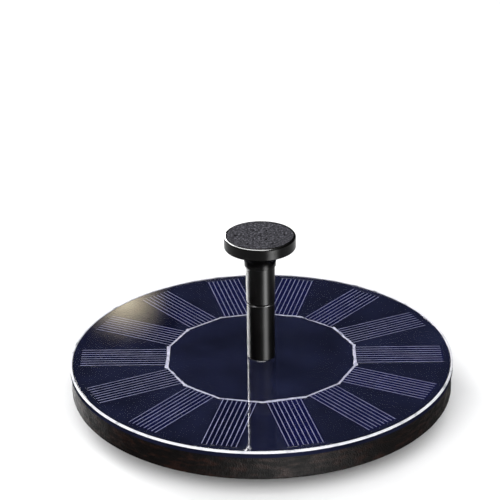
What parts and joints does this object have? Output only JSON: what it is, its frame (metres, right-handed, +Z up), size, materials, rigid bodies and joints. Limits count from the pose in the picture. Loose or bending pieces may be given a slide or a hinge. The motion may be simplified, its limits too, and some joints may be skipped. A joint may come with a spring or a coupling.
{
  "type": "solar fountain pump",
  "caption": "Round floating solar panel with a pump under its middle and a push-fit riser with a flared spray head.",
  "frame": {"origin": "middle of the strainer's flat base, on the riser's axis", "axes": "+Z up the riser; +X from the riser towards the pump's rotor"},
  "size_m": [0.16, 0.16, 0.0778],
  "materials": {
    "clear_cover": "clear polished resin",
    "edge_band": "white sealing resin",
    "solar_cells": "dark blue silicon with an antireflection coat",
    "silver_fingers": "screen-printed silver",
    "tinned_ribbon": "tinned copper",
    "panel_board": "navy printed board",
    "tinned_copper": "tinned",
    "black_foam": "closed-cell foam, die-cut",
    "black_plastic": "moulded ABS",
    "sealant": "silicone",
    "black_rubber": "moulded",
    "ferrite": "ground ferrite",
    "white_plastic": "moulded",
    "bush_plastic": "carbon-filled",
    "ceramic": "ground ceramic",
    "washer_plastic": "low-friction plastic",
    "core_steel": "stacked laminations",
    "enamelled_wire": "enamelled copper",
    "green_board": "solder mask",
    "chip_plastic": "moulded",
    "potting_resin": "cast epoxy",
    "red_insulation": "silicone",
    "black_insulation": "silicone",
    "stainless_steel": "plain",
    "riser_plastic": "moulded ABS, satin",
    "head_plastic": "moulded ABS, satin",
    "plate_plastic": "moulded ABS, fine texture"
  },
  "bodies": {
    "float": {"clear_cover": "clear_cover", "edge_band": "edge_band", "solar_cells": "solar_cells", "cell_fingers": "silver_fingers", "bus_ribbon": "tinned_ribbon", "panel_board": "panel_board", "terminal_pads": "tinned_copper", "foam_float": "black_foam", "pump_housing": "black_plastic", "housing_sealant": "sealant", "nipple_seal": "black_rubber", "shaft": "ceramic", "shaft_seats": "black_rubber", "thrust_washers": "washer_plastic", "stator_core": "core_steel", "stator_bobbins": "white_plastic", "stator_coils": "enamelled_wire", "driver_board": "green_board", "driver_components": "chip_plastic", "potting_resin": "potting_resin", "red_lead": "red_insulation", "black_lead": "black_insulation", "pump_cover": "black_plastic", "cover_gasket": "black_rubber", "cover_screws": "stainless_steel"},
    "rotor": {"rotor_magnet": "ferrite", "impeller": "white_plastic", "rotor_bush": "bush_plastic"},
    "strainer": {"strainer_cover": "black_plastic"},
    "lower_tube": {"lower_tube": "riser_plastic"},
    "upper_tube": {"upper_tube": "riser_plastic"},
    "nozzle": {"nozzle_body": "head_plastic", "spray_plate": "plate_plastic"}
  },
  "joints": [
    {"name": "impeller_spin", "type": "hinge", "parent": "float", "child": "rotor", "pos_m": [0.018, 0, 0.005], "axis": [0, 0, 1], "continuous": true},
    {"name": "strainer_twist", "type": "hinge", "parent": "float", "child": "strainer", "pos_m": [0, 0, 0], "axis": [0, 0, 1], "range_deg": [0, 20]},
    {"name": "lower_tube_pull", "type": "slide", "parent": "float", "child": "lower_tube", "axis": [0, 0, 1], "range_m": [0, 0.014]},
    {"name": "upper_tube_pull", "type": "slide", "parent": "lower_tube", "child": "upper_tube", "axis": [0, 0, 1], "range_m": [0, 0.012]},
    {"name": "nozzle_pull", "type": "slide", "parent": "upper_tube", "child": "nozzle", "axis": [0, 0, 1], "range_m": [0, 0.012]}
  ]
}
